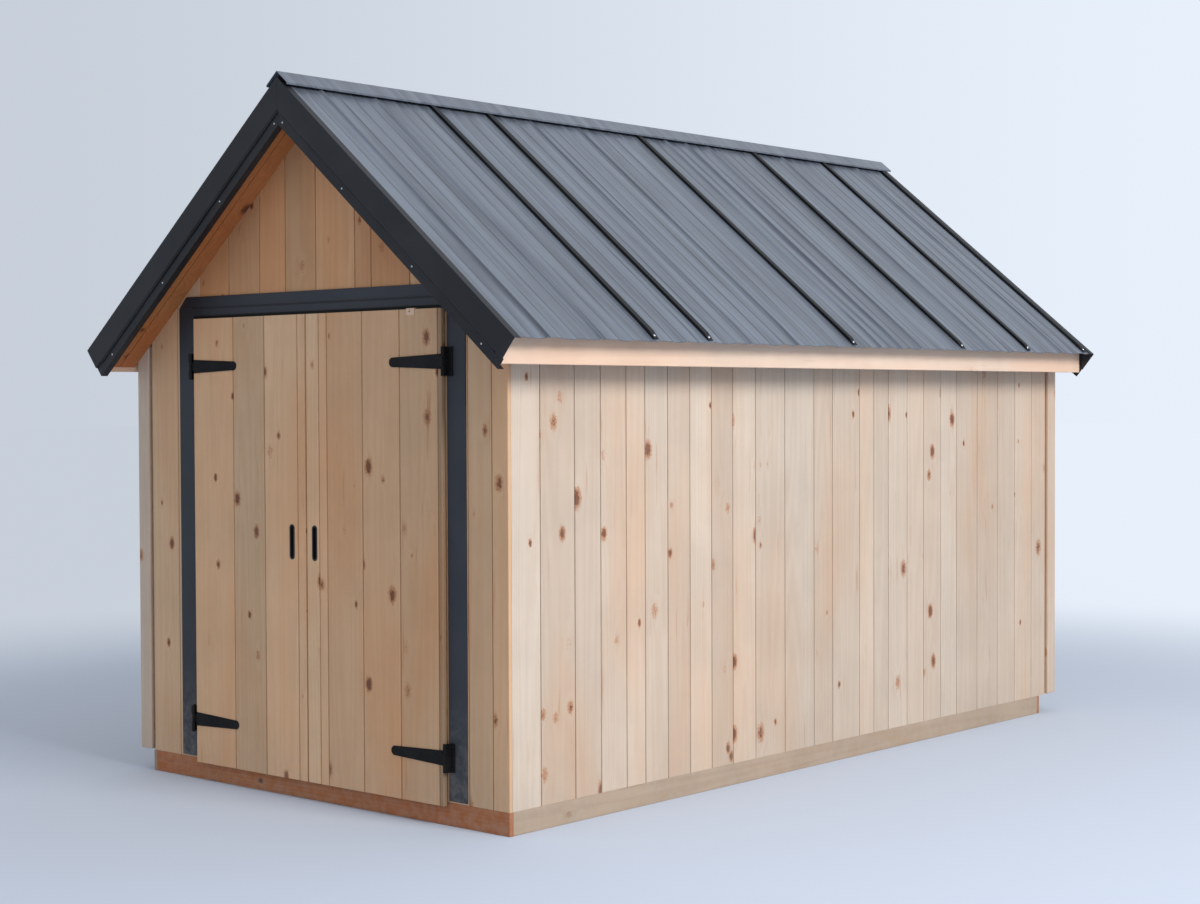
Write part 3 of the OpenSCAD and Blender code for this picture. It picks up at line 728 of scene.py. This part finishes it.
ease("door_side_trims", "side_trim_strips", materials["surround_metal"], 0.0015)
ease("door_header_trim", "header_trim_strip", materials["surround_metal"], 0.0012)
for hand in ("left", "right"):
    ease(hand + "_hinge_plates", hand + "_hinge_plate_iron", materials["black_iron"], 0.0005, angle=40.0)
    ease(hand + "_hinge_straps", hand + "_hinge_strap_iron", materials["black_iron"], 0.0006, angle=40.0)
    ease(hand + "_pull", hand + "_pull_cup", materials["black_plastic"], 0.0005, angle=40.0)


def hinge_screws(hand):
    """Screws along each strap, and three on each plate."""
    sign = 1 if hand == "left" else -1
    strap_low, strap_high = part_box(hand + "_hinge_straps")
    plate_low, plate_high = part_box(hand + "_hinge_plates")
    root_x = strap_low.x if hand == "left" else strap_high.x
    plate_x = plate_low.x if hand == "left" else plate_high.x
    face_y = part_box(hand + "_door")[0].y - IRON_PROUD
    plate_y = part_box("door_side_trims")[0].y - IRON_PROUD
    strap, plate = [], []
    for z in (plate_low.z + HALF_PLATE, plate_high.z - HALF_PLATE):
        for along in STRAP_SCREWS:
            strap.append((Vector((root_x + sign * along, face_y, z)), -Y))
        for up in PLATE_SCREWS:
            plate.append((Vector((plate_x + sign * PLATE_INSET, plate_y, z + up)), -Y))
    leaf = body_of(hand + "_door")
    screws(hand + "_strap_screws", leaf, strap, 0.0042, materials["black_iron"])
    screws(hand + "_plate_screws", "root", plate, 0.0038, materials["black_iron"])


for hand in ("left", "right"):
    hinge_screws(hand)


def bar(name, body, finish, low, high, width):
    """A straight bar between two corners, with its edges rounded."""
    bm = bmesh.new()
    bmesh.ops.create_cube(bm, size=1.0)
    bmesh.ops.scale(bm, vec=Vector(high) - Vector(low), verts=bm.verts)
    bmesh.ops.translate(bm, vec=(Vector(high) + Vector(low)) / 2, verts=bm.verts)
    bevel(bm, bm.edges[:], width)
    mark(bm, rng.random())
    return new_piece(bm, name, body, [finish])


# The header has a lip along the joint of its two bands, and a black inner strip that closes the gap over the
# doors and paints that gap's shadow
header_low, header_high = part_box("door_header_trim")
trims_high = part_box("door_side_trims")[1]
wall_y, joint_z, inside = header_high.y, trims_high.z, trims_high.x - 0.096
bar("header_lip", "root", materials["trim_metal"],
    (-inside, header_low.y - 0.0035, joint_z - 0.0035), (inside, wall_y, joint_z + 0.0015), 0.001)
bar("header_lower_lip", "root", materials["trim_metal"],
    (-inside, header_low.y - 0.002, header_low.z - 0.001), (inside, wall_y, header_low.z + 0.003), 0.001)
# A black strip set in the gap above the doors, as painted shadow
bar("header_painted_shadow_strip", "root", materials["rib_metal"],
    (-inside, wall_y - 0.0022, header_low.z - 0.024), (inside, wall_y + 0.0005, header_low.z + 0.002), 0.0005)
# A small pinned tab on the top edge of the right door
leaf_low, leaf_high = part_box("right_door")
bar("door_top_tab", "right_leaf", materials["fascia"],
    (0.556, leaf_low.y - 0.002, leaf_high.z - 0.022), (0.6, leaf_low.y + 0.01, leaf_high.z + 0.004), 0.0015)
pin = Vector((0.574, leaf_low.y - 0.002, leaf_high.z - 0.008))
screws("door_top_tab_pin", "right_leaf", [(pin, -Y)], 0.003, materials["black_iron"])

# ---------------------------------------------------------------- stage, light and camera


def plain_floor():
    """A wide pale disc that turns into the backdrop's colour far out, where only the camera sees it."""
    material, n, shader = new_material("plain_floor")
    shader.inputs["Base Color"].default_value = (0.53, 0.60, 0.72, 1)
    shader.inputs["Roughness"].default_value = 0.95
    glow = n.add("ShaderNodeEmission")
    side = n.add("ShaderNodeVectorMath", operation="DOT_PRODUCT")
    n.join(place_on_object(n), side.inputs[0])
    side.inputs[1].default_value = BACKDROP_WAY
    backdrop = n.mix(n.remap(side.outputs["Value"], -5.0, 5.0), BACKDROP_DIM, BACKDROP_BRIGHT)
    n.join(backdrop, glow.inputs["Color"])
    away = n.add("ShaderNodeVectorMath", operation="LENGTH")
    n.join(place_on_object(n), away.inputs[0])
    far = n.remap(away.outputs["Value"], 3.2, 7.5)
    seen = n.add("ShaderNodeLightPath").outputs["Is Camera Ray"]
    blend = n.add("ShaderNodeMixShader")
    n.join(n.math("MULTIPLY", far, seen), blend.inputs[0])
    n.join(shader.outputs[0], blend.inputs[1])
    n.join(glow.outputs[0], blend.inputs[2])
    n.join(blend.outputs[0], n.tree.nodes["Material Output"].inputs["Surface"])
    bm = bmesh.new()
    bmesh.ops.create_circle(bm, cap_ends=True, segments=96, radius=120.0)
    mesh = bpy.data.meshes.new("floor")
    bm.to_mesh(mesh)
    bm.free()
    mesh.materials.append(material)
    floor = bpy.data.objects.new("floor", mesh)
    bpy.context.scene.collection.objects.link(floor)
    floor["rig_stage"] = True


def soft_world():
    """Even pale light on the shed, and the backdrop for what the camera or a gloss sees."""
    world = bpy.data.worlds.new("soft_sky")
    bpy.context.scene.world = world
    world.use_nodes = True
    n = Nodes(world.node_tree)
    way = n.add("ShaderNodeVectorMath", operation="DOT_PRODUCT")
    n.join(n.add("ShaderNodeTexCoord").outputs["Generated"], way.inputs[0])
    way.inputs[1].default_value = BACKDROP_WAY
    backdrop = n.mix(n.remap(way.outputs["Value"], -0.3, 0.3), BACKDROP_DIM, BACKDROP_BRIGHT)
    sky = world.node_tree.nodes["Background"]
    sky.inputs["Color"].default_value = (0.97, 0.98, 1.0, 1)
    sky.inputs["Strength"].default_value = 0.66
    shown = n.add("ShaderNodeBackground")
    n.join(backdrop, shown.inputs["Color"])
    path = n.add("ShaderNodeLightPath")
    direct = n.math("MAXIMUM", path.outputs["Is Camera Ray"],
        n.math("MAXIMUM", path.outputs["Is Glossy Ray"], path.outputs["Is Transmission Ray"]))
    blend = n.add("ShaderNodeMixShader")
    n.join(direct, blend.inputs[0])
    n.join(sky.outputs[0], blend.inputs[1])
    n.join(shown.outputs[0], blend.inputs[2])
    n.join(blend.outputs[0], world.node_tree.nodes["World Output"].inputs["Surface"])


def soft_lamp(name, place, aim, size, energy, colour):
    data = bpy.data.lights.new(name, "AREA")
    data.shape, data.size, data.energy, data.color = "DISK", size, energy, colour
    lamp = bpy.data.objects.new(name, data)
    lamp.location = place
    lamp.rotation_euler = (Vector(aim) - Vector(place)).to_track_quat("-Z", "Y").to_euler()
    bpy.context.scene.collection.objects.link(lamp)


def camera():
    """Eye height, from the corner between the doors and the long wall."""
    place = Vector((6.173, -7.246, 1.581))
    turn, down, roll = math.radians(41.27), math.radians(1.47), math.radians(-0.22)
    back = Vector((math.sin(turn) * math.cos(down), -math.cos(turn) * math.cos(down), math.sin(down)))
    level = Vector((math.cos(turn), math.sin(turn), 0))
    up = back.cross(level)
    right = level * math.cos(roll) + up * math.sin(roll)
    up = back.cross(right)
    data = bpy.data.cameras.new("view")
    data.lens, data.sensor_width, data.clip_end = 61.62, 36.0, 400.0
    eye = bpy.data.objects.new("view", data)
    eye.matrix_world = Matrix.Translation(place) @ Matrix((right, up, back)).transposed().to_4x4()
    bpy.context.scene.collection.objects.link(eye)
    bpy.context.scene.camera = eye


plain_floor()
soft_world()
soft_lamp("key_lamp", (10.5, -1.5, 7.5), (0.6, 0.0, 1.2), 5.0, 1060.0, (1.0, 0.985, 0.965))
camera()
bpy.context.scene.view_settings.view_transform = "Standard"

low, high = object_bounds()
